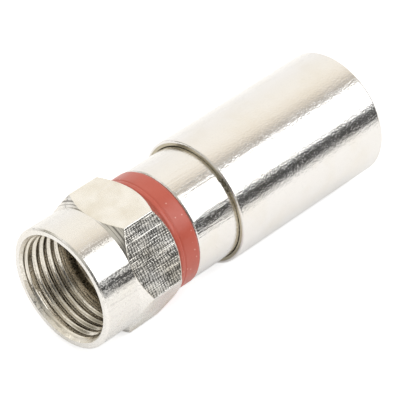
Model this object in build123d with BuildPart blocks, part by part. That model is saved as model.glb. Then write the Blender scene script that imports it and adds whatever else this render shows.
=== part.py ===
"""Compression F connector for a 7 mm coaxial cable, with a free-turning 3/8-32 coupling nut.

Sizes are in millimetres. The origin is the centre of the post's front face, which is the mating plane.
+X points out of the nut's mouth, and +Z is up with the connector lying on its side, one flat of the
hexagon down.
"""

import os
from math import cos, radians, tan

from build123d import *

# Coaxial cable that the connector takes
jacket_diameter = 7.0
dielectric_diameter = 4.6

# Coupling nut: a hexagon with a turned collar in front, threaded inside
thread_diameter = 9.525
thread_depth = 0.4325
nut_wall = 0.7375
hex_corner_radius = 0.12
mouth_depth = 4.9
collar_length = 3.4
collar_step = 0.02
collar_edge_chamfer = 0.16
front_cone_angle = 49.2
rear_cone_angle = 45.0
rear_face_step = 0.14
thread_relief_depth = 0.2
mouth_cone_rise = 0.16
mouth_cone_length = 0.55
shoulder_thickness = 0.9

# Post: a flanged tube whose flange holds the nut and whose barb goes under the braid
flange_thickness = 1.1
flange_edge_chamfer = 0.15
shank_step = 0.35
post_wall = 0.35
post_reach_into_grip = 0.5
post_mouth_chamfer = 0.2
barb_height = 0.25
barb_length = 1.6
barb_tip_wall = 0.15

# Connector body: a nose in the nut, a seat for the seal ring, and a tube for the cable's jacket
nose_wall = 0.45
web_length = 2.5
body_wall = 0.73
body_edge_chamfer = 0.12
chamber_floor_cone = 0.6
chamber_flare_rise = 0.25
chamber_flare_length = 0.8
exposed_body_length = 4.45

# Seal ring: red rubber, with a lip marked off by a shallow groove
ring_length = 2.3
ring_stand_out = 0.045
ring_thickness = 0.825
ring_edge_chamfer = 0.18
ring_lip_length = 0.55
ring_groove_width = 0.24
ring_groove_depth = 0.07

# O-ring between the body's nose and the nut's counterbore
o_ring_section = 0.84
o_ring_sides = 12

# Compression sleeve: a tube over the body, with a lip at the cable's entry
sleeve_length = 17.2
sleeve_wall = 0.51
sleeve_edge_chamfer = 0.18
sleeve_lip_thickness = 1.2
cable_entry_chamfer = 0.3

# Grip ring: plastic, held in the sleeve, with grooves that bite into the jacket
grip_wall = 0.7
grip_collar_thickness = 1.5
grip_nose_length = 5.25
grip_nose_taper_length = 1.4
grip_nose_taper_rise = 0.35
grip_groove_count = 4
grip_groove_pitch = 0.9
grip_groove_width = 0.35
grip_groove_depth = 0.2

# Clearances
flange_thread_clearance = 0.13
nut_running_clearance = 0.06
nut_end_play = 0.1
seal_gap = 0.05
o_ring_gap = 0.06
o_ring_room = 0.51
dielectric_clearance = 0.1
sleeve_sliding_clearance = 0.05
sleeve_stop_gap = 0.25
grip_entry_clearance = 0.1
grip_stop_gap = 0.05
grip_cable_clearance = 0.15
entry_cable_clearance = 0.4

# Radii of the post and of what is turned to fit it
post_bore_radius = dielectric_diameter / 2 + dielectric_clearance
post_tube_radius = post_bore_radius + post_wall
shank_radius = post_tube_radius + shank_step
shoulder_bore_radius = shank_radius + nut_running_clearance
nose_radius = shank_radius + nose_wall
counterbore_radius = nose_radius + o_ring_section + o_ring_gap

# Radii of the nut. The flange goes in through the thread.
thread_radius = thread_diameter / 2
relief_radius = thread_radius + thread_relief_depth
flange_radius = thread_radius - thread_depth - flange_thread_clearance
flat_radius = thread_radius + nut_wall
corner_radius = flat_radius / cos(radians(30))
collar_radius = flat_radius - collar_step
rear_face_radius = flat_radius - rear_face_step

# Radii of what goes round the jacket
grip_bore_radius = jacket_diameter / 2 + grip_cable_clearance
grip_nose_radius = grip_bore_radius + grip_wall
cable_entry_radius = jacket_diameter / 2 + entry_cable_clearance
chamber_radius = grip_nose_radius + grip_entry_clearance
body_radius = chamber_radius + body_wall
ring_radius = body_radius + ring_stand_out
ring_seat_radius = ring_radius - ring_thickness
sleeve_bore_radius = body_radius + sleeve_sliding_clearance
sleeve_radius = sleeve_bore_radius + sleeve_wall

# Stations along the axis, from the mouth to the rear
nut_front = mouth_depth
hex_front = nut_front - collar_length
front_cone_rear = hex_front - (corner_radius - collar_radius) / tan(radians(front_cone_angle))
shoulder_front = -flange_thickness - nut_end_play
shoulder_rear = shoulder_front - shoulder_thickness
nose_front = shoulder_rear - nut_end_play
nut_rear = shoulder_rear - o_ring_section - o_ring_room
rear_cone_front = nut_rear + (corner_radius - rear_face_radius) / tan(radians(rear_cone_angle))
ring_front = nut_rear - seal_gap
groove_middle = ring_front - ring_lip_length
ring_rear = ring_front - ring_length
chamber_floor = ring_rear - web_length
sleeve_front = ring_rear - exposed_body_length
sleeve_rear = sleeve_front - sleeve_length
lip_front = sleeve_rear + sleeve_lip_thickness
grip_collar_front = lip_front + grip_collar_thickness
grip_nose_front = grip_collar_front + grip_nose_length
sleeve_travel = exposed_body_length - sleeve_stop_gap
body_rear = grip_collar_front + sleeve_travel + grip_stop_gap
post_rear = grip_nose_front - post_reach_into_grip
barb_front = post_rear + barb_length


# The nut starts as hexagonal bar.
with BuildPart() as coupling_nut:
    with BuildSketch(Plane.YZ.offset(nut_rear)) as bar:
        RegularPolygon(radius=flat_radius, side_count=6, major_radius=False)
        fillet(bar.vertices(), radius=hex_corner_radius)
    extrude(amount=hex_front - nut_rear)

    # Both ends of the hexagon are turned to cones, which leave curved edges on the flats.
    with BuildSketch(Plane.XZ):
        with BuildLine():
            Polyline(
                (nut_rear, 0),
                (nut_rear, rear_face_radius),
                (rear_cone_front, corner_radius),
                (front_cone_rear, corner_radius),
                (hex_front, collar_radius),
                (hex_front, 0),
                close=True,
            )
        make_face()
    revolve(axis=Axis.X, mode=Mode.INTERSECT)

    # The collar in front is turned down to the flats.
    with BuildSketch(Plane.XZ):
        with BuildLine():
            Polyline(
                (hex_front, 0),
                (hex_front, collar_radius),
                (nut_front - collar_edge_chamfer, collar_radius),
                (nut_front, collar_radius - collar_edge_chamfer),
                (nut_front, 0),
                close=True,
            )
        make_face()
    revolve(axis=Axis.X)

    # The bore has the thread's outer diameter up to the mating plane, and then a relief.
    # The shoulder behind the relief runs on the post.
    with BuildSketch(Plane.XZ):
        with BuildLine():
            Polyline(
                (nut_front, 0),
                (nut_front, thread_radius + mouth_cone_rise),
                (nut_front - mouth_cone_length, thread_radius),
                (0, thread_radius),
                (0, relief_radius),
                (shoulder_front, relief_radius),
                (shoulder_front, shoulder_bore_radius),
                (shoulder_rear, shoulder_bore_radius),
                (shoulder_rear, counterbore_radius),
                (nut_rear, counterbore_radius),
                (nut_rear, 0),
                close=True,
            )
        make_face()
    revolve(axis=Axis.X, mode=Mode.SUBTRACT)

# The post is pressed into the body up to the chamber's floor. Its thin tube ends in a barb.
with BuildPart() as post:
    with BuildSketch(Plane.XZ):
        with BuildLine():
            Polyline(
                (0, post_bore_radius + post_mouth_chamfer),
                (0, flange_radius - flange_edge_chamfer),
                (-flange_edge_chamfer, flange_radius),
                (-flange_thickness, flange_radius),
                (-flange_thickness, shank_radius),
                (chamber_floor, shank_radius),
                (chamber_floor, post_tube_radius),
                (barb_front, post_tube_radius),
                (barb_front, post_tube_radius + barb_height),
                (post_rear, post_bore_radius + barb_tip_wall),
                (post_rear, post_bore_radius),
                (-post_mouth_chamfer, post_bore_radius),
                close=True,
            )
        make_face()
    revolve(axis=Axis.X)

# The body steps up from its nose to the seal ring's seat, and then to its full diameter.
with BuildPart() as connector_body:
    with BuildSketch(Plane.XZ):
        with BuildLine():
            Polyline(
                (nose_front, shank_radius),
                (nose_front, nose_radius),
                (ring_front, nose_radius),
                (ring_front, ring_seat_radius),
                (ring_rear, ring_seat_radius),
                (ring_rear, body_radius - body_edge_chamfer),
                (ring_rear - body_edge_chamfer, body_radius),
                (body_rear + body_edge_chamfer, body_radius),
                (body_rear, body_radius - body_edge_chamfer),
                (body_rear, chamber_radius + chamber_flare_rise),
                (body_rear + chamber_flare_length, chamber_radius),
                (chamber_floor - chamber_floor_cone, chamber_radius),
                (chamber_floor, shank_radius),
                close=True,
            )
        make_face()
    revolve(axis=Axis.X)

# The seal ring fills the step between the nut and the body. A groove marks off its front lip.
with BuildPart() as seal_ring:
    with BuildSketch(Plane.XZ):
        with BuildLine():
            Polyline(
                (ring_rear, ring_seat_radius),
                (ring_rear, ring_radius - ring_edge_chamfer),
                (ring_rear + ring_edge_chamfer, ring_radius),
                (groove_middle - ring_groove_width / 2, ring_radius),
                (groove_middle, ring_radius - ring_groove_depth),
                (groove_middle + ring_groove_width / 2, ring_radius),
                (ring_front - ring_edge_chamfer, ring_radius),
                (ring_front, ring_radius - ring_edge_chamfer),
                (ring_front, ring_seat_radius),
                close=True,
            )
        make_face()
    revolve(axis=Axis.X)

# The O-ring sits on the body's nose, midway between the nut's shoulder and the seal ring's seat.
# It is hidden there, so its round section has few sides.
with BuildPart() as nut_o_ring:
    with BuildSketch(Plane.XZ):
        with Locations(((nose_front + ring_front) / 2, nose_radius + o_ring_section / 2)):
            RegularPolygon(radius=o_ring_section / 2, side_count=o_ring_sides)
    revolve(axis=Axis.X)

# The sleeve slides forward over the body. Its lip pushes the grip ring.
with BuildPart() as compression_sleeve:
    with BuildSketch(Plane.XZ):
        with BuildLine():
            Polyline(
                (sleeve_front, sleeve_bore_radius),
                (sleeve_front, sleeve_radius - sleeve_edge_chamfer),
                (sleeve_front - sleeve_edge_chamfer, sleeve_radius),
                (sleeve_rear + sleeve_edge_chamfer, sleeve_radius),
                (sleeve_rear, sleeve_radius - sleeve_edge_chamfer),
                (sleeve_rear, cable_entry_radius + cable_entry_chamfer),
                (sleeve_rear + cable_entry_chamfer, cable_entry_radius),
                (lip_front, cable_entry_radius),
                (lip_front, sleeve_bore_radius),
                close=True,
            )
        make_face()
    revolve(axis=Axis.X)

# The grip ring's tapered nose is driven into the body's tube.
with BuildPart() as grip_ring:
    with BuildSketch(Plane.XZ):
        with BuildLine():
            Polyline(
                (lip_front, grip_bore_radius),
                (lip_front, sleeve_bore_radius),
                (grip_collar_front, sleeve_bore_radius),
                (grip_collar_front, grip_nose_radius),
                (grip_nose_front - grip_nose_taper_length, grip_nose_radius),
                (grip_nose_front, grip_nose_radius - grip_nose_taper_rise),
                (grip_nose_front, grip_bore_radius),
                close=True,
            )
        make_face()
        for turn in range(grip_groove_count):
            with Locations((grip_collar_front + turn * grip_groove_pitch, grip_bore_radius)):
                Rectangle(grip_groove_width, 2 * grip_groove_depth, mode=Mode.SUBTRACT)
    revolve(axis=Axis.X)

pieces = {
    "coupling_nut": coupling_nut,
    "post": post,
    "connector_body": connector_body,
    "seal_ring": seal_ring,
    "nut_o_ring": nut_o_ring,
    "compression_sleeve": compression_sleeve,
    "grip_ring": grip_ring,
}

os.makedirs("parts", exist_ok=True)
for name, piece in pieces.items():
    piece.part.label = name
    export_step(piece.part, f"parts/{name}.step")
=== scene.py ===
"""A compression F connector, dressed piece by piece in the order in which it is put together.

Sizes are in millimetres in the outlines and metres in Blender. +X points out of the nut's mouth.
"""

from math import cos, pi, radians, sin, sqrt, tan

import bmesh
import bpy
from mathutils import Matrix, Vector


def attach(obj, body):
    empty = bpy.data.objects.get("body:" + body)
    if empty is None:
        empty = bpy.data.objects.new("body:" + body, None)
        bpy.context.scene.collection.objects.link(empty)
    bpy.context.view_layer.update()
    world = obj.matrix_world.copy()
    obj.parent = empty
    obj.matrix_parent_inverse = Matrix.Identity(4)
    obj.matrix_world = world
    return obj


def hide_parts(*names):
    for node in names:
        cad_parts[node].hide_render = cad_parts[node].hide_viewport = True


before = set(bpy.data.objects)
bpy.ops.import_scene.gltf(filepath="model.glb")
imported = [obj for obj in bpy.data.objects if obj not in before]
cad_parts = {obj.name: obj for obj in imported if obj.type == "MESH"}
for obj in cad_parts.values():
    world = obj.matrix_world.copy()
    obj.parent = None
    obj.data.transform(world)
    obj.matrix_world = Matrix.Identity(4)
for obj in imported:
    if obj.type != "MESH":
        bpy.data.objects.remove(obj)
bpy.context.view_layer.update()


# Post: a tube turned from brass bar, with a flange that the nut pulls on and a thin barbed end
# that goes under the cable's braid. Nickel-plated, and pressed into the body up to its shank.
POST = [
    (0, 2.6, 0.05),
    (0, 4.05, 0.06),
    (-0.15, 4.2, 0.06),
    (-1.1, 4.2, 0.05),
    (-1.1, 3.1, 0.05),
    (-8.3, 3.1, 0.03),
    (-8.3, 2.75, 0.03),
    (-18.4, 2.75, 0.03),
    (-18.4, 3.0, 0.04),
    (-20.0, 2.55, 0.03),
    (-20.0, 2.4, 0.03),
    (-0.2, 2.4, 0.05),
]


ARC_STEPS = 4
CORNER_POINTS = ARC_STEPS + 3
ARC_SHARE = 0.34
GUARD_SHARE = 0.35


def rounded(outline):
    """Gives the points of a closed outline of (x, radius, corner rounding), with an arc at each corner.

    An arc takes up no more than ARC_SHARE of a side. A point beside each of its ends, GUARD_SHARE of the
    arc's reach away, keeps the shading of the straight stretches flat.
    """
    points = []
    for here, (x, r, rounding) in enumerate(outline):
        corner = Vector((x, r))
        back = Vector(outline[here - 1][:2]) - corner
        ahead = Vector(outline[(here + 1) % len(outline)][:2]) - corner
        reach = rounding * tan((pi - back.angle(ahead)) / 2)
        reach = min(reach, ARC_SHARE * back.length, ARC_SHARE * ahead.length)
        start = corner + back.normalized() * reach
        end = corner + ahead.normalized() * reach
        points.append(start + back.normalized() * reach * GUARD_SHARE)
        for step in range(ARC_STEPS + 1):
            t = step / ARC_STEPS
            points.append(start * (1 - t) ** 2 + corner * 2 * t * (1 - t) + end * t * t)
        points.append(end + ahead.normalized() * reach * GUARD_SHARE)
    return points


def skin(name, rows, closed_round=True, closed_along=True):
    """Makes a smooth mesh from rows of points in millimetres, one row for each angle."""
    mesh = bmesh.new()
    grid = [[mesh.verts.new(Vector(point) / 1000) for point in row] for row in rows]
    around = len(grid) if closed_round else len(grid) - 1
    along = len(grid[0]) if closed_along else len(grid[0]) - 1
    for j in range(around):
        left = grid[j]
        right = grid[(j + 1) % len(grid)]
        for i in range(along):
            k = (i + 1) % len(left)
            face = mesh.faces.new((left[i], left[k], right[k], right[i]))
            face.smooth = True
    bmesh.ops.recalc_face_normals(mesh, faces=mesh.faces)
    data = bpy.data.meshes.new(name)
    mesh.to_mesh(data)
    mesh.free()
    piece = bpy.data.objects.new(name, data)
    bpy.context.collection.objects.link(piece)
    return piece


def turned(name, outline, segments):
    """Turns a closed outline of (x, radius, rounding) round the connector's axis."""
    profile = rounded(outline)
    rows = []
    for j in range(segments):
        angle = 2 * pi * j / segments
        rows.append([(x, r * cos(angle), r * sin(angle)) for x, r in profile])
    return skin(name, rows)


def linear(code):
    """Turns an sRGB hex colour into linear red, green, blue and alpha."""
    channels = [int(code[i:i + 2], 16) / 255 for i in (1, 3, 5)]
    return [c / 12.92 if c <= 0.04045 else ((c + 0.055) / 1.055) ** 2.4 for c in channels] + [1.0]


def add(tree, kind, sockets=None, **settings):
    """Adds a node, with its settings, and its sockets set to a value or linked to another socket."""
    made = tree.nodes.new("ShaderNode" + kind)
    for name, value in settings.items():
        setattr(made, name, value)
    for name, value in (sockets or {}).items():
        if isinstance(value, bpy.types.NodeSocket):
            tree.links.new(value, made.inputs[name])
        else:
            made.inputs[name].default_value = value
    return made


def new_material(name):
    """Starts a material, and gives it with its node tree, its shader and the position in millimetres."""
    material = bpy.data.materials.new(name)
    material.use_nodes = True
    tree = material.node_tree
    shader = tree.nodes["Principled BSDF"]
    place = add(tree, "TexCoord").outputs["Object"]
    millimetres = add(tree, "VectorMath", {0: place, "Scale": 1000.0}, operation="SCALE").outputs[0]
    return material, tree, shader, millimetres


def nickel(name, tone, roughness, pits, waves, scuffs, rings=0.0, marks=0.0, dents=0.0):
    """Bright nickel plating on turned brass: a mirror, broken up by pits 0.15 mm wide and waves 4 mm long.

    pits, waves, scuffs and rings are heights in micrometres. Scuffs run along the axis, and rings are the
    tool's marks. Those are 0.05 mm apart, too fine to show, so they are drawn 0.15 mm apart. marks is how
    dark the plating is in them, and dents is how rough it is in the small dents, 0.2 mm apart, that
    pieces give each other in the plating barrel.
    """
    material, tree, shader, place = new_material(name)
    shader.inputs["Metallic"].default_value = 1.0
    dull = add(tree, "TexNoise", {"Vector": place, "Scale": 0.35, "Detail": 3.0})
    tarnish = add(tree, "MapRange", {"Value": dull.outputs[0], "From Min": 0.45, "From Max": 0.75})
    pale = linear(tone)
    warm = [pale[0] * 0.97, pale[1] * 0.955, pale[2] * 0.92, 1.0]
    coat = add(tree, "Mix", {0: tarnish.outputs[0], 6: pale, 7: warm}, data_type="RGBA")
    feed = add(tree, "VectorMath", {0: place, 1: (6.5, 0.0, 0.0)}, operation="MULTIPLY").outputs[0]
    feed = add(tree, "TexNoise", {"Vector": feed, "Scale": 1.0, "Detail": 2.0}).outputs[0]
    if marks:
        furrow = add(tree, "MapRange", {"Value": feed, "From Min": 0.5, "From Max": 0.4, "To Max": marks})
        coat = add(tree, "Mix", {0: furrow.outputs[0], 6: coat.outputs[2], 7: linear("#5A5650")},
                   data_type="RGBA")
    tree.links.new(coat.outputs[2], shader.inputs["Base Color"])

    long_waves = add(tree, "TexNoise", {"Vector": place, "Scale": 0.25, "Detail": 1.5})
    small_pits = add(tree, "TexNoise", {"Vector": place, "Scale": 7.0, "Detail": 2.0})
    along = add(tree, "VectorMath", {0: place, 1: (0.3, 5.0, 5.0)}, operation="MULTIPLY").outputs[0]
    long_scuffs = add(tree, "TexNoise", {"Vector": along, "Scale": 1.0, "Detail": 3.0, "Roughness": 0.6})
    broken = add(tree, "Math", {0: small_pits.outputs[0], 1: long_scuffs.outputs[0]}, operation="ADD")
    spread = {"Value": broken.outputs[0], "From Min": 0.85, "From Max": 1.3,
              "To Min": roughness * 0.6, "To Max": roughness * 2.8}
    sheen = add(tree, "MapRange", spread)
    if dents:
        spots = add(tree, "TexVoronoi", {"Vector": place, "Scale": 4.5, "Randomness": 1.0})
        dented = add(tree, "MapRange", {"Value": spots.outputs["Distance"], "From Min": 0.3,
                                        "From Max": 0.12, "To Max": dents})
        sheen = add(tree, "Math", {0: sheen.outputs[0], 1: dented.outputs[0]}, operation="MAXIMUM")
    tree.links.new(sheen.outputs[0], shader.inputs["Roughness"])
    bump = add(tree, "Bump", {"Height": long_waves.outputs[0], "Distance": waves * 1e-6})
    bump = add(tree, "Bump", {"Height": small_pits.outputs[0], "Distance": pits * 1e-6,
                              "Normal": bump.outputs[0]})
    bump = add(tree, "Bump", {"Height": long_scuffs.outputs[0], "Distance": scuffs * 1e-6,
                              "Normal": bump.outputs[0]})
    if rings:
        bump = add(tree, "Bump", {"Height": feed, "Distance": rings * 1e-6, "Normal": bump.outputs[0]})
    tree.links.new(bump.outputs[0], shader.inputs["Normal"])
    return material


post = turned("post_tube", POST, 160)
post.data.materials.append(nickel("nickel plating on turned post", "#ECE6DC", roughness=0.16,
                                  pits=0.6, waves=6.0, scuffs=0.6, rings=2.0))
post.data.materials.append(nickel("dull nickel plating in the post", "#D2CCC0", roughness=0.3,
                                  pits=4.0, waves=6.0, scuffs=2.0, rings=6.0))
post_bore = 10 * CORNER_POINTS + 3
for face in post.data.polygons:
    if face.index % (len(POST) * CORNER_POINTS) >= post_bore:
        face.material_index = 1
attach(post, "body")
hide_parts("post")


# Coupling nut: hexagonal brass bar, 11 mm across its flats. Its collar and the cones at both ends of the
# hexagon are turned, its flats stay as they were drawn, and all of it is nickel-plated.
FLAT_RADIUS = 5.5
HEX_ROUNDING = 0.12
COLLAR_RADIUS = 5.48
REAR_FACE_RADIUS = 5.36
NUT_REAR = -3.45
HEX_FRONT = 1.42
MOUTH = 4.9
MOUTH_CONE = 4.62
FRONT_CONE = tan(radians(45.5))
REAR_CONE = tan(radians(45.0))
BORE = [
    (MOUTH, 4.9225, 0.05),
    (MOUTH_CONE, 4.7625, 0.02),
    (0, 4.7625, 0.04),
    (0, 4.9625, 0.04),
    (-1.2, 4.9625, 0.05),
    (-1.2, 3.16, 0.06),
    (-2.1, 3.16, 0.06),
    (-2.1, 4.45, 0.05),
    (NUT_REAR, 4.45, 0.05),
]

corner_centre = (FLAT_RADIUS - HEX_ROUNDING) / cos(radians(30))


def hexagon(from_corner):
    """Radius of the rounded hexagon at an angle in degrees from its nearest corner."""
    tilt = radians(from_corner)
    flat = FLAT_RADIUS / cos(radians(30) - abs(tilt))
    inside = HEX_ROUNDING ** 2 - (corner_centre * sin(tilt)) ** 2
    if inside <= 0:
        return flat
    return min(flat, corner_centre * cos(tilt) + sqrt(inside))


# Degrees from a corner of the hexagon: close together on its rounded edge, wider apart on the flat
ROUNDED_EDGE = [-0.56, -0.42, -0.28, -0.14, 0.0, 0.14, 0.28, 0.42, 0.56]
FLAT_STEPS = 26
corner_angles = ROUNDED_EDGE + [0.75 + 58.5 * k / FLAT_STEPS for k in range(FLAT_STEPS + 1)]

nut_rows = []
for corner in range(6):
    for offset in corner_angles:
        from_corner = offset if offset <= 30 else offset - 60
        h = hexagon(from_corner)
        profile = rounded([
            (NUT_REAR, REAR_FACE_RADIUS, 0.05),
            (NUT_REAR + (h - REAR_FACE_RADIUS) / REAR_CONE, h, 0.2),
            (HEX_FRONT - (h - COLLAR_RADIUS) / FRONT_CONE, h, 0.2),
            (HEX_FRONT, COLLAR_RADIUS, 0.05),
            (MOUTH - 0.16, COLLAR_RADIUS, 0.05),
            (MOUTH, COLLAR_RADIUS - 0.16, 0.14),
        ] + BORE)
        angle = radians(60 * corner + offset)
        nut_rows.append([(x, r * cos(angle), r * sin(angle)) for x, r in profile])
nut = skin("coupling_nut_shell", nut_rows)
nut.data.materials.append(nickel("nickel plating on turned nut", "#E8E5E1", roughness=0.17,
                                 pits=1.0, waves=18.0, scuffs=2.0, rings=4.0))


def drawn_flats():
    """Nickel plating over cold-drawn bar: a woven glint of fine lines along the bar and ticks across them.

    The lines are 0.2 mm apart and the ticks 0.26 mm, as coarse as they need to be to show. The deeper
    lines that the die scored run the whole length, about 0.8 mm apart.
    """
    material, tree, shader, place = new_material("nickel plating on drawn hexagon")
    shader.inputs["Metallic"].default_value = 1.0
    dull = add(tree, "TexNoise", {"Vector": place, "Scale": 0.45, "Detail": 2.0})
    dull = add(tree, "MapRange", {"Value": dull.outputs[0], "From Min": 0.3, "From Max": 0.7})
    coat = add(tree, "Mix", {0: dull.outputs[0], 6: linear("#F0EDE8"), 7: linear("#DED7CA")},
               data_type="RGBA")
    along = add(tree, "VectorMath", {0: place, 1: (0.45, 9.0, 9.0)}, operation="MULTIPLY").outputs[0]
    lines = add(tree, "TexNoise", {"Vector": along, "Scale": 1.0, "Detail": 2.0, "Roughness": 0.6})
    ticks = add(tree, "TexWave", {"Vector": place, "Scale": 1.2, "Distortion": 5.0, "Detail": 3.0,
                                  "Detail Scale": 1.6}, bands_direction="X")
    ticks = add(tree, "MapRange", {"Value": ticks.outputs[1], "To Min": 0.6, "To Max": 1.0})
    weave = add(tree, "Math", {0: lines.outputs[0], 1: ticks.outputs[0]}, operation="MULTIPLY")
    grain = add(tree, "MapRange", {"Value": weave.outputs[0], "From Min": 0.2, "From Max": 0.5,
                                   "To Min": 0.96, "To Max": 1.0})
    coat = add(tree, "Mix", {0: grain.outputs[0], 6: linear("#B9B5AE"), 7: coat.outputs[2]},
               data_type="RGBA")
    tree.links.new(coat.outputs[2], shader.inputs["Base Color"])

    worn = add(tree, "TexNoise", {"Vector": place, "Scale": 0.8, "Detail": 3.0})
    worn = add(tree, "Math", {0: worn.outputs[0], 1: 0.6}, operation="MULTIPLY")
    rough = add(tree, "Math", {0: weave.outputs[0], 1: worn.outputs[0]}, operation="ADD")
    rough = add(tree, "MapRange", {"Value": rough.outputs[0], "From Min": 0.55, "From Max": 1.0,
                                   "To Min": 0.12, "To Max": 0.44})
    tree.links.new(rough.outputs[0], shader.inputs["Roughness"])

    wavy = add(tree, "TexNoise", {"Vector": place, "Scale": 0.4, "Detail": 1.0})
    bump = add(tree, "Bump", {"Height": wavy.outputs[0], "Distance": 60e-6})
    scored = add(tree, "VectorMath", {0: place, 1: (0.07, 2.4, 2.4)}, operation="MULTIPLY").outputs[0]
    scored = add(tree, "TexNoise", {"Vector": scored, "Scale": 1.0, "Detail": 1.0})
    scored = add(tree, "MapRange", {"Value": scored.outputs[0], "From Min": 0.58, "From Max": 0.7,
                                    "To Max": 0.35})
    relief = add(tree, "Math", {0: weave.outputs[0], 1: scored.outputs[0]}, operation="ADD")
    bump = add(tree, "Bump", {"Height": relief.outputs[0], "Distance": 24e-6, "Normal": bump.outputs[0]})
    tree.links.new(bump.outputs[0], shader.inputs["Normal"])
    return material


nut.data.materials.append(drawn_flats())
nut.data.materials.append(nickel("thin nickel plating in the bore", "#E2DBCE", roughness=0.2,
                                 pits=1.0, waves=6.0, scuffs=0.6, rings=4.0))
nut.data.materials.append(nickel("nickel plating on turned cones", "#E6E2DC", roughness=0.1,
                                 pits=3.0, waves=8.0, scuffs=1.0, rings=30.0, marks=0.75))
nut.data.materials.append(nickel("rough nickel plating on countersink", "#F6F1E8", roughness=0.32,
                                 pits=3.0, waves=6.0, scuffs=2.0, rings=8.0))
TURNED, DRAWN, IN_BORE, CONE, COUNTERSINK = range(5)
along_count = len(nut_rows[0])


def at(corner, step):
    """Place in the nut's profile of a point on the arc at one of the outline's corners."""
    return corner * CORNER_POINTS + step


zones = [
    (at(0, 0), at(1, 2), CONE),
    (at(1, 2), at(2, 4), DRAWN),
    (at(2, 4), at(3, 4), CONE),
    (at(3, 4), at(6, 5), TURNED),
    (at(6, 5), at(7, 5), COUNTERSINK),
    (at(7, 5), along_count - 1, IN_BORE),
]
# The hexagon's edges are rubbed as smooth as the collar, and so is the front cone at its first corner.
half_corner = len(corner_angles) // 2
for face in nut.data.polygons:
    row, step = divmod(face.index, along_count)
    on_edge = row % len(corner_angles) < len(ROUNDED_EDGE)
    at_first_corner = step >= at(2, 4) and min(row, len(nut_rows) - row) < half_corner
    for first, last, zone in zones:
        if first <= step < last:
            smooth = zone == DRAWN and on_edge or zone == CONE and at_first_corner
            face.material_index = TURNED if smooth else zone
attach(nut, "nut")
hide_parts("coupling_nut")


# Thread of the nut: 3/8-32, cut by a tap, right-handed. Its crests are worn low and round. The countersink
# at the mouth and the tap's lead take the tops off its first turns, and it runs out just before the
# relief at the mating plane.
PITCH = 0.79375
MAJOR = 4.7625
DEPTH = 0.26
HALF_RIDGE = 0.325
FLANK = 0.19
CREST_ROUNDING = 0.35
FOOT_ROUNDING = 0.25
THREAD_START = 0.217
START_ANGLE = 230
THREAD_TURNS = 6.0
STEPS_A_TURN = 120
RUN_OUT = 3
THREAD_REAR = 0.02
THREAD_FRONT = 4.8
LEAD_START = 4.35
COUNTERSINK_SLOPE = 0.577
LEAD_SLOPE = 0.264
FOOT_ABOVE_BORE = 0.004
BEHIND_COUNTERSINK = 0.02


def ramp(t, rounding):
    """Rises from 0 with t, with a round foot that reaches as far as rounding on both sides of 0."""
    if t >= rounding:
        return t
    return 0 if t <= -rounding else (t + rounding) ** 2 / (4 * rounding)


def thread_height(from_crest):
    """Height of the ridge, from 0 to 1, beside its middle line: straight flanks, round crest and foot."""
    t = (HALF_RIDGE - abs(from_crest)) / FLANK
    if t > 0.5:
        return 1 - ramp(1 - t, CREST_ROUNDING)
    return ramp(t, FOOT_ROUNDING)


def mouth_limit(x):
    """Radius of the countersink and of the tap's lead behind it, which no ridge passes."""
    if x > LEAD_START:
        return MAJOR - (MOUTH_CONE - x) * COUNTERSINK_SLOPE
    return MAJOR - (MOUTH_CONE - LEAD_START) * COUNTERSINK_SLOPE - (LEAD_START - x) * LEAD_SLOPE


beside_crest = [0.397, 0.375, 0.35, 0.325, 0.305, 0.25, 0.2, 0.165, 0.14, 0.11, 0.085, 0.06, 0.03]
beside_crest = beside_crest + [0.0] + [-b for b in reversed(beside_crest)]
ridge_rows = []
for k in range(int(THREAD_TURNS * STEPS_A_TURN) + 1):
    turn = k / STEPS_A_TURN
    angle = radians(START_ANGLE) + 2 * pi * turn
    middle = THREAD_START + PITCH * turn
    full = DEPTH * min(1.0, turn * RUN_OUT)
    row = []
    for beside in beside_crest:
        x = min(max(middle + beside, THREAD_REAR), THREAD_FRONT)
        r = max(MAJOR - FOOT_ABOVE_BORE - full * thread_height(beside), mouth_limit(x))
        if x > MOUTH_CONE:
            r = mouth_limit(x) + BEHIND_COUNTERSINK
        row.append((x, r * cos(angle), r * sin(angle)))
    ridge_rows.append(row)
thread = skin("nut_thread", ridge_rows, closed_round=False, closed_along=False)
thread.data.materials.append(nickel("thin nickel plating on tapped thread", "#E6E0D5", roughness=0.13,
                                    pits=0.3, waves=3.0, scuffs=0.3, rings=6.0, marks=0.25))
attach(thread, "nut")


# O-ring: a moulded black rubber ring in the nut's rear counterbore, on the body's nose.
# It keeps damp out of the thread. Its section is round, 0.84 mm thick.
O_RING_X = -2.85
O_RING_RADIUS = 3.97
HALF_SECTION = 0.42
O_RING_ROWS = 144
SECTION_SIDES = 24

o_rows = []
for j in range(O_RING_ROWS):
    angle = 2 * pi * j / O_RING_ROWS
    ring = []
    for k in range(SECTION_SIDES):
        turn = 2 * pi * k / SECTION_SIDES
        r = O_RING_RADIUS + HALF_SECTION * sin(turn)
        ring.append((O_RING_X + HALF_SECTION * cos(turn), r * cos(angle), r * sin(angle)))
    o_rows.append(ring)
o_ring = skin("o_ring", o_rows)


def black_rubber():
    """Moulded nitrile rubber: near black, satin, with a fine bloom on its skin."""
    material, tree, shader, place = new_material("moulded black rubber")
    bloom = add(tree, "TexNoise", {"Vector": place, "Scale": 2.5, "Detail": 4.0})
    skin_tone = add(tree, "Mix", {0: bloom.outputs[0], 6: linear("#1C1C1C"), 7: linear("#2B2A29")},
                    data_type="RGBA")
    tree.links.new(skin_tone.outputs[2], shader.inputs["Base Color"])
    shader.inputs["Roughness"].default_value = 0.48
    grain = add(tree, "TexNoise", {"Vector": place, "Scale": 9.0, "Detail": 2.0})
    bump = add(tree, "Bump", {"Height": grain.outputs[0], "Distance": 6e-6})
    tree.links.new(bump.outputs[0], shader.inputs["Normal"])
    return material


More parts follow.
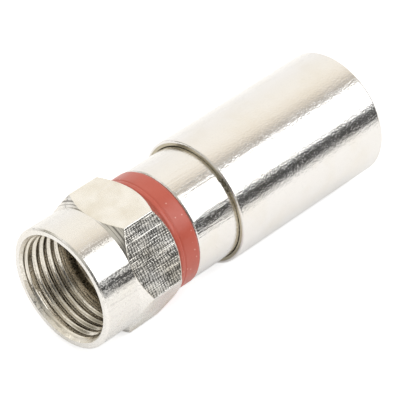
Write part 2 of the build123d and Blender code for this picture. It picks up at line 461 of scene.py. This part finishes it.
o_ring.data.materials.append(black_rubber())
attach(o_ring, "body")
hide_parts("nut_o_ring")


# Connector body: turned from brass bar, nickel-plated and pressed onto the post. Its nose stands in the
# nut, a step behind it holds the seal ring, and its tube takes the cable's jacket.
BODY = [
    (-2.2, 3.1, 0.04),
    (-2.2, 3.55, 0.06),
    (-3.5, 3.55, 0.04),
    (-3.5, 4.4, 0.04),
    (-5.8, 4.4, 0.03),
    (-5.8, 5.06, 0.05),
    (-5.92, 5.18, 0.06),
    (-20.38, 5.18, 0.05),
    (-20.5, 5.06, 0.05),
    (-20.5, 4.7, 0.04),
    (-19.7, 4.45, 0.1),
    (-8.9, 4.45, 0.1),
    (-8.3, 3.1, 0.04),
]
body = turned("connector_body_tube", BODY, 256)
body.data.materials.append(nickel("nickel plating on turned body", "#E8E5E2", roughness=0.07,
                                  pits=12.0, waves=8.0, scuffs=26.0, rings=2.0, dents=0.36))
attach(body, "body")
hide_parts("connector_body")


# Seal ring: moulded red silicone in the step between nut and body, a little proud of both.
# A shallow groove marks off its front lip, and dust sticks to it.
SEAL = [
    (-5.78, 4.4, 0.03),
    (-5.78, 5.05, 0.08),
    (-5.6, 5.225, 0.16),
    (-4.2, 5.215, 0.1),
    (-4.05, 5.155, 0.08),
    (-3.93, 5.225, 0.1),
    (-3.68, 5.225, 0.16),
    (-3.5, 5.05, 0.08),
    (-3.5, 4.4, 0.03),
]
seal = turned("seal_ring_band", SEAL, 256)


def red_silicone():
    """Moulded silicone rubber: satin, evenly red, with a slightly uneven skin and pale specks of dust."""
    material, tree, shader, place = new_material("moulded red silicone")
    cloud = add(tree, "TexNoise", {"Vector": place, "Scale": 0.5, "Detail": 3.0})
    tone = add(tree, "Mix", {0: cloud.outputs[0], 6: linear("#CA6352"), 7: linear("#BC5543")},
               data_type="RGBA")
    dust = add(tree, "TexVoronoi", {"Vector": place, "Scale": 1.7, "Randomness": 1.0})
    speck = add(tree, "MapRange", {"Value": dust.outputs["Distance"], "From Min": 0.12, "From Max": 0.07})
    dusty = add(tree, "Mix", {0: speck.outputs[0], 6: tone.outputs[2], 7: linear("#E8B3A6")},
                data_type="RGBA")
    tree.links.new(dusty.outputs[2], shader.inputs["Base Color"])
    shader.inputs["Roughness"].default_value = 0.32
    uneven = add(tree, "TexNoise", {"Vector": place, "Scale": 0.8, "Detail": 2.0})
    grain = add(tree, "TexNoise", {"Vector": place, "Scale": 7.0, "Detail": 2.0})
    bump = add(tree, "Bump", {"Height": uneven.outputs[0], "Distance": 60e-6})
    bump = add(tree, "Bump", {"Height": grain.outputs[0], "Distance": 8e-6, "Normal": bump.outputs[0]})
    tree.links.new(bump.outputs[0], shader.inputs["Normal"])
    return material


seal.data.materials.append(red_silicone())
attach(seal, "body")
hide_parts("seal_ring")


# Grip ring: moulded from natural acetal. Its tapered nose is driven into the body when the sleeve is
# pushed forward, and the grooves in its bore bite into the jacket.
GRIP_BORE = 3.65
GROOVE_FLOOR = 3.85
GROOVE_PITCH = 0.9
HALF_GROOVE = 0.175
LAST_GROOVE = -24.75
GRIP = [(-26.25, GRIP_BORE, 0.03), (-26.25, 5.23, 0.08), (-24.75, 5.23, 0.1), (-24.75, 4.35, 0.08)]
GRIP += [(-20.9, 4.35, 0.3), (-19.5, 4.0, 0.08), (-19.5, GRIP_BORE, 0.06)]
for groove in (3, 2, 1, 0):
    middle = LAST_GROOVE + GROOVE_PITCH * groove
    GRIP += [(middle + HALF_GROOVE, GRIP_BORE, 0.03), (middle + HALF_GROOVE, GROOVE_FLOOR, 0.03)]
    GRIP += [(middle - HALF_GROOVE, GROOVE_FLOOR, 0.03), (middle - HALF_GROOVE, GRIP_BORE, 0.03)]
grip = turned("grip_ring_moulding", GRIP, 144)


def acetal():
    """Natural acetal, moulded: milky white, smooth, a little waxy."""
    material, tree, shader, place = new_material("moulded natural acetal")
    cloud = add(tree, "TexNoise", {"Vector": place, "Scale": 0.4, "Detail": 2.0})
    tone = add(tree, "Mix", {0: cloud.outputs[0], 6: linear("#EAE7DD"), 7: linear("#E1DDD1")},
               data_type="RGBA")
    tree.links.new(tone.outputs[2], shader.inputs["Base Color"])
    shader.inputs["Roughness"].default_value = 0.38
    grain = add(tree, "TexNoise", {"Vector": place, "Scale": 6.0, "Detail": 2.0})
    bump = add(tree, "Bump", {"Height": grain.outputs[0], "Distance": 4e-6})
    tree.links.new(bump.outputs[0], shader.inputs["Normal"])
    return material


grip.data.materials.append(acetal())
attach(grip, "sleeve")
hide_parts("grip_ring")


# Compression sleeve: a drawn brass tube with turned ends, nickel-plated in a barrel, which leaves it bright
# outside and duller in its bore and front face. It slides forward over the body, and its lip at the
# cable's entry pushes the grip ring. The darker tone of the bore and front face is partly painted shade
# for the gap between the front face and the body.
SLEEVE = [
    (-10.25, 5.23, 0.05),
    (-10.25, 5.74, 0.2),
    (-27.2, 5.74, 0.2),
    (-27.45, 5.49, 0.2),
    (-27.45, 4.2, 0.08),
    (-27.15, 3.9, 0.08),
    (-26.25, 3.9, 0.05),
    (-26.25, 5.23, 0.05),
]
sleeve = turned("compression_sleeve_tube", SLEEVE, 256)
sleeve.data.materials.append(nickel("nickel plating on drawn sleeve", "#E8E5E2", roughness=0.07,
                                    pits=20.0, waves=7.0, scuffs=6.0, dents=0.36))
# Bore and front face: thin, olive plating, in a darker tone that is partly painted shade.
sleeve.data.materials.append(nickel("thin nickel plating and painted shade in the sleeve", "#B9B19D", roughness=0.1,
                                    pits=3.0, waves=8.0, scuffs=2.0, rings=3.0))
sleeve_bore = 6 * CORNER_POINTS + 6
for face in sleeve.data.polygons:
    step = face.index % (len(SLEEVE) * CORNER_POINTS)
    if step < CORNER_POINTS or step >= sleeve_bore:
        face.material_index = 1
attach(sleeve, "sleeve")
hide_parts("compression_sleeve")


# Floor: a pale table under the connector, which lies on its sleeve near two of the table's edges.
# It shows white to the camera and in the metal, and keeps the connector's soft shadow. Close to the
# connector its glow in the metal fades by position, a painted shadow on top of the real one.
TABLE_TOP = -5.74e-3
FRONT_EDGE = 0.1
SIDE_EDGE = 0.085
FAR_EDGE = -2.3
floor_data = bpy.data.meshes.new("floor")
corners = [(FRONT_EDGE, SIDE_EDGE, TABLE_TOP), (FAR_EDGE, SIDE_EDGE, TABLE_TOP),
           (FAR_EDGE, FAR_EDGE, TABLE_TOP), (FRONT_EDGE, FAR_EDGE, TABLE_TOP)]
floor_data.from_pydata(corners, [], [(0, 1, 2, 3)])
floor = bpy.data.objects.new("floor", floor_data)
bpy.context.collection.objects.link(floor)
paper = bpy.data.materials.new("matt white table")
paper.use_nodes = True
table = paper.node_tree
matt = table.nodes["Principled BSDF"]
fibre = add(table, "TexNoise", {"Vector": add(table, "TexCoord").outputs["Object"], "Scale": 40.0})
white = add(table, "Mix", {0: fibre.outputs[0], 6: linear("#F4F4F4"), 7: linear("#F0F0F0")},
            data_type="RGBA")
table.links.new(white.outputs[2], matt.inputs["Base Color"])
matt.inputs["Roughness"].default_value = 0.9
matt.inputs["Specular IOR Level"].default_value = 0.2
rays = add(table, "LightPath")
seen = add(table, "Math", {0: rays.outputs["Is Camera Ray"], 1: rays.outputs["Is Transmission Ray"]},
           operation="ADD")
# Painted shadow: the floor's glow seen in the metal fades by position close to the connector.
spot = add(table, "SeparateXYZ", {0: add(table, "TexCoord").outputs["Object"]})
off_side = add(table, "Math", {0: spot.outputs["Y"]}, operation="ABSOLUTE")
off_side = add(table, "MapRange", {"Value": off_side.outputs[0], "From Min": 0.0, "From Max": 0.0085,
                                   "To Max": 0.6}, interpolation_type="SMOOTHSTEP")
off_front = add(table, "MapRange", {"Value": spot.outputs["X"], "From Min": 0.003, "From Max": 0.0068,
                                    "To Max": 0.75})
glow_outside_painted_shadow = add(table, "Math", {0: off_side.outputs[0], 1: off_front.outputs[0]}, operation="MAXIMUM")
share = add(table, "Math", {0: rays.outputs["Is Glossy Ray"], 1: glow_outside_painted_shadow.outputs[0]}, operation="MULTIPLY")
share = add(table, "Math", {0: seen.outputs[0], 1: share.outputs[0]}, operation="ADD")
share = add(table, "Math", {0: share.outputs[0], 1: 0.27}, operation="MULTIPLY")
glow = add(table, "Emission", {"Color": (1.0, 1.0, 1.0, 1.0), "Strength": 2.5})
mixed = add(table, "MixShader", {0: share.outputs[0], 1: matt.outputs[0], 2: glow.outputs[0]})
table.links.new(mixed.outputs[0], table.nodes["Material Output"].inputs["Surface"])
floor.data.materials.append(paper)


# Studio: white all round to the camera. The metal sees a warm ceiling, a dark gap between the table and
# the softbox with its dark frame on the +Y side, and the dimmer room beyond the mouth.
world = bpy.data.worlds.new("studio")
bpy.context.scene.world = world
world.use_nodes = True
sky = world.node_tree
backdrop = sky.nodes["Background"]
direction = add(sky, "TexCoord").outputs["Generated"]
way = add(sky, "SeparateXYZ", {0: direction})
overhead = add(sky, "Math", {0: way.outputs["Z"], 1: way.outputs["Y"]}, operation="ARCTAN2")
overhead = add(sky, "MapRange", {"Value": overhead.outputs[0], "From Min": 0.0, "From Max": pi,
                                 "To Max": 1.0})


def studio_band(stops):
    """Colours of the studio by the angle, in degrees, from the +Y horizon over the top to the -Y one."""
    band = add(sky, "ValToRGB", {0: overhead.outputs[0]})
    while len(band.color_ramp.elements) < len(stops):
        band.color_ramp.elements.new(1.0)
    for stop, (angle, code) in zip(band.color_ramp.elements, stops):
        stop.position = angle / 180
        stop.color = linear(code)
    return band.outputs[0]


beside = studio_band([
    (0, "#505050"), (4, "#4C4C4C"), (16, "#505050"), (22, "#7C7C7A"), (66, "#7C7C7A"),
    (70.5, "#63615E"), (72.5, "#C4C1BC"), (78, "#B8B4AE"), (83, "#CDC6BD"), (92, "#ECE5D8"),
    (102, "#F6F0E4"), (113, "#FCF8EF"), (130, "#FCF9F1"), (152, "#F9F7F2"), (180, "#FCFCFB"),
])
ahead = studio_band([
    (0, "#626262"), (12, "#5A5A5A"), (24, "#6C6C6A"), (40, "#767674"), (54, "#8A8A86"), (68, "#C4C3BD"),
    (84, "#C2C1BA"), (96, "#D2D0C7"), (108, "#B6B3AB"), (118, "#D2CFC6"), (127, "#FFFFFF"),
    (138, "#F4F2EA"), (147, "#CFCCC0"), (155, "#A8A59B"), (167, "#918E84"), (175, "#8C897F"),
    (180, "#A5A298"),
])
front = add(sky, "MapRange", {"Value": way.outputs["X"], "From Min": 0.3, "From Max": 0.5},
            interpolation_type="SMOOTHSTEP")
studio = add(sky, "Mix", {0: front.outputs[0], 6: beside, 7: ahead}, data_type="RGBA")


def patch(colour, towards, inner, outer, code):
    """Puts a round soft patch into the studio. inner and outer are the radii of its edge in degrees."""
    near = add(sky, "VectorMath", {0: direction, 1: towards}, operation="DOT_PRODUCT")
    share = add(sky, "MapRange", {"Value": near.outputs["Value"], "From Min": cos(radians(outer)),
                                  "From Max": cos(radians(inner))}, interpolation_type="SMOOTHSTEP")
    return add(sky, "Mix", {0: share.outputs[0], 6: colour, 7: linear(code)}, data_type="RGBA").outputs[2]


CAMERA_WAY = (0.545, 0.558, 0.626)
DARK_ROOM_WAY = (0.98, 0.14, 0.14)
PALE_CARD_WAY = (0.41, 0.88, 0.24)
studio = patch(studio.outputs[2], CAMERA_WAY, 5, 12, "#464646")
studio = patch(studio, DARK_ROOM_WAY, 8, 14, "#3C3C3A")
studio = patch(studio, PALE_CARD_WAY, 8, 20, "#DCD6CC")
looks = add(sky, "LightPath")
seen = add(sky, "Math", {0: looks.outputs["Is Camera Ray"], 1: looks.outputs["Is Transmission Ray"]},
           operation="ADD")
room = add(sky, "Mix", {0: seen.outputs[0], 6: studio, 7: (1.0, 1.0, 1.0, 1.0)}, data_type="RGBA")
level = add(sky, "MapRange", {"Value": seen.outputs[0], "To Min": 1.15, "To Max": 1.0})
dimmed = add(sky, "Math", {0: looks.outputs["Is Diffuse Ray"], 1: 0.05}, operation="MULTIPLY")
level = add(sky, "Math", {0: level.outputs[0], 1: dimmed.outputs[0]}, operation="SUBTRACT")
sky.links.new(room.outputs[2], backdrop.inputs["Color"])
sky.links.new(level.outputs[0], backdrop.inputs["Strength"])

# Softbox: a long soft lamp parallel to the connector, 45 degrees up on the +Y side. It makes the white
# band along the metal.
SOFTBOX_DISTANCE = 0.9
SOFTBOX_HEIGHT = radians(45.8)
SOFTBOX_TILT = radians(-44.2)
softbox = bpy.data.lights.new("softbox", "AREA")
softbox.shape = "RECTANGLE"
softbox.size = 1.35
softbox.size_y = 0.73
softbox.energy = 7.2
softbox.color = (0.965, 0.985, 1.0)
lamp = bpy.data.objects.new("softbox", softbox)
lamp.location = (-0.475, SOFTBOX_DISTANCE * cos(SOFTBOX_HEIGHT), SOFTBOX_DISTANCE * sin(SOFTBOX_HEIGHT))
lamp.rotation_euler = (SOFTBOX_TILT, 0, 0)
bpy.context.collection.objects.link(lamp)


# Camera: the photograph's place, found from the ends and steps of the connector. It looks at a point close
# to the connector's axis, from 213 mm away through a long lens.
AZIMUTH, ELEVATION, ROLL = radians(135.70), radians(38.73), radians(-1.70)
AIM = Vector((-10.863e-3, 0.070e-3, -0.063e-3))
DISTANCE = 213.26e-3
back = Vector((sin(AZIMUTH) * cos(ELEVATION), -cos(AZIMUTH) * cos(ELEVATION), sin(ELEVATION)))
level_right = Vector((cos(AZIMUTH), sin(AZIMUTH), 0))
level_up = back.cross(level_right)
right = level_right * cos(ROLL) + level_up * sin(ROLL)
up = level_up * cos(ROLL) - level_right * sin(ROLL)
lens = bpy.data.cameras.new("camera")
lens.lens = 231.24
lens.sensor_width = 36.0
lens.clip_start = 0.01
camera = bpy.data.objects.new("camera", lens)
stand = AIM + back * DISTANCE
camera.matrix_world = Matrix((right, up, back)).transposed().to_4x4()
camera.matrix_world.translation = stand
bpy.context.collection.objects.link(camera)
bpy.context.scene.camera = camera
bpy.context.scene.view_settings.view_transform = "Standard"
